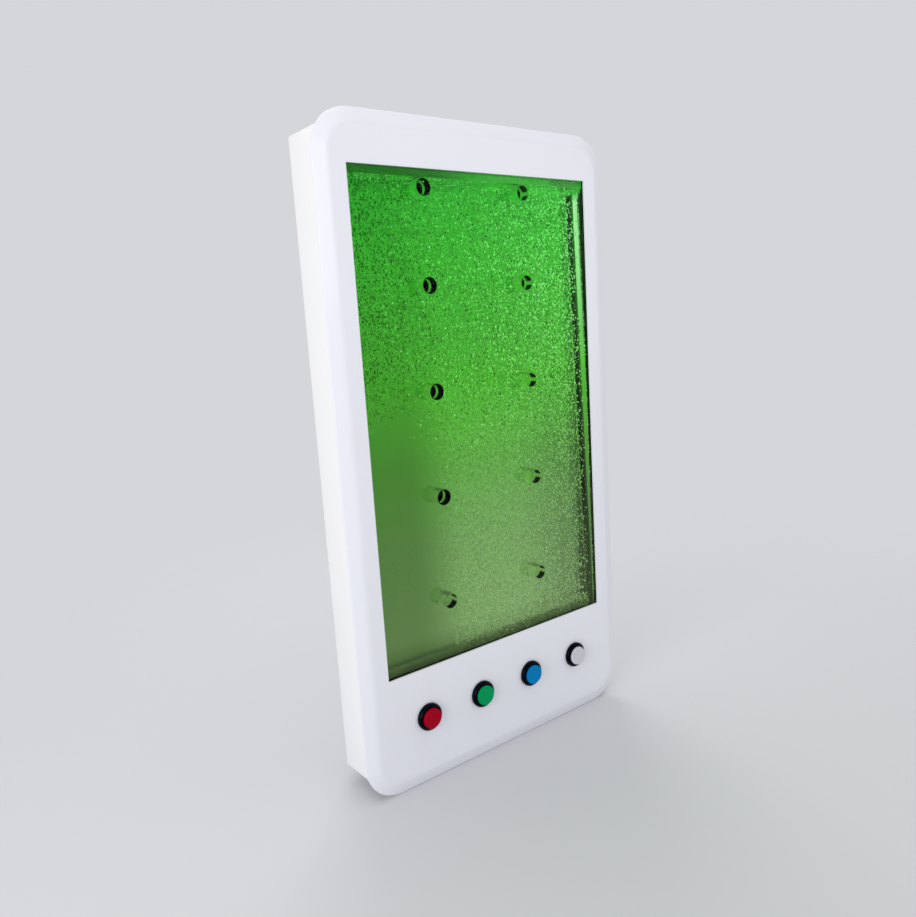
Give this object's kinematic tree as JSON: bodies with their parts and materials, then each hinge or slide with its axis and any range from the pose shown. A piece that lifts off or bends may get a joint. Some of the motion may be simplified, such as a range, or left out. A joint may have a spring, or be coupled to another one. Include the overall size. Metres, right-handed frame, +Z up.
{
  "type": "bubble wall panel",
  "caption": "Tall white wall-hung case with a rounded front, a large window on a thin clear water tank with spacer tubes and a bubble bar, and a row of coloured push buttons below it.",
  "frame": {"origin": "centre of the wall rail's rear face, which lies on the wall", "axes": "+Z up the panel, +Y into the wall (the window and the buttons face -Y), +X to the right as seen from the room"},
  "size_m": [0.655, 0.1445, 1.2],
  "materials": {
    "fascia": "white moulded gloss",
    "case_board": "white satin board",
    "clear_acrylic": "clear polished acrylic",
    "reflector": "matt light-spreading sheet",
    "black_plastic": "black gloss",
    "grey_plastic": "grey satin",
    "rubber": "black matt",
    "aluminium": "natural extruded",
    "brass": "turned",
    "lamp_strip": "lamp strip",
    "hose": "clear silicone",
    "cap_red": "translucent red",
    "cap_green": "translucent green",
    "cap_blue": "translucent blue",
    "cap_white": "translucent white"
  },
  "bodies": {
    "panel": {"fascia": "fascia", "case_left": "case_board", "case_right": "case_board", "case_top": "case_board", "case_bottom": "case_board", "back_panel": "case_board", "tank_shelf": "case_board", "wall_rail": "aluminium", "panel_rail": "aluminium", "tank_front_sheet": "clear_acrylic", "tank_rear_sheet": "clear_acrylic", "tank_left_wall": "clear_acrylic", "tank_right_wall": "clear_acrylic", "tank_base": "clear_acrylic", "tank_lid": "clear_acrylic", "reflector_sheet": "reflector", "window_gasket": "rubber", "spacer_tube_left_1": "clear_acrylic", "spacer_tube_left_2": "clear_acrylic", "spacer_tube_left_3": "clear_acrylic", "spacer_tube_left_4": "clear_acrylic", "spacer_tube_left_5": "clear_acrylic", "spacer_tube_right_1": "clear_acrylic", "spacer_tube_right_2": "clear_acrylic", "spacer_tube_right_3": "clear_acrylic", "spacer_tube_right_4": "clear_acrylic", "spacer_tube_right_5": "clear_acrylic", "bubble_bar": "grey_plastic", "air_fitting": "brass", "check_valve": "grey_plastic", "air_hose": "hose", "air_pump": "black_plastic", "pump_mat": "rubber", "led_channel": "aluminium", "led_strip": "lamp_strip", "button_bezel_red": "black_plastic", "button_bezel_green": "black_plastic", "button_bezel_blue": "black_plastic", "button_bezel_white": "black_plastic", "button_nut_red": "grey_plastic", "button_nut_green": "grey_plastic", "button_nut_blue": "grey_plastic", "button_nut_white": "grey_plastic", "button_switch_red": "black_plastic", "button_switch_green": "black_plastic", "button_switch_blue": "black_plastic", "button_switch_white": "black_plastic", "drain_pipe": "grey_plastic", "drain_valve": "brass", "filler_neck": "clear_acrylic", "controller": "grey_plastic", "power_supply": "black_plastic", "power_inlet": "black_plastic"},
    "red_cap": {"button_cap_red": "cap_red"},
    "green_cap": {"button_cap_green": "cap_green"},
    "blue_cap": {"button_cap_blue": "cap_blue"},
    "white_cap": {"button_cap_white": "cap_white"},
    "lever": {"drain_lever": "cap_red"},
    "filler": {"filler_cap": "black_plastic"}
  },
  "joints": [
    {"name": "red_button_press", "type": "slide", "parent": "panel", "child": "red_cap", "axis": [0, 1, 0], "range_m": [0, 0.0035], "stiffness_N_per_m": 300, "springref_m": -0.002},
    {"name": "green_button_press", "type": "slide", "parent": "panel", "child": "green_cap", "axis": [0, 1, 0], "range_m": [0, 0.0035], "stiffness_N_per_m": 300, "springref_m": -0.002},
    {"name": "blue_button_press", "type": "slide", "parent": "panel", "child": "blue_cap", "axis": [0, 1, 0], "range_m": [0, 0.0035], "stiffness_N_per_m": 300, "springref_m": -0.002},
    {"name": "white_button_press", "type": "slide", "parent": "panel", "child": "white_cap", "axis": [0, 1, 0], "range_m": [0, 0.0035], "stiffness_N_per_m": 300, "springref_m": -0.002},
    {"name": "drain_lever_turn", "type": "hinge", "parent": "panel", "child": "lever", "pos_m": [0.12804, -0.09865, -0.9655], "axis": [0, -1, 0], "range_deg": [0, 90]},
    {"name": "filler_cap_turn", "type": "hinge", "parent": "panel", "child": "filler", "pos_m": [0.253, -0.0633, 0.1415], "axis": [0, 0, 1], "range_deg": [0, 90]}
  ]
}
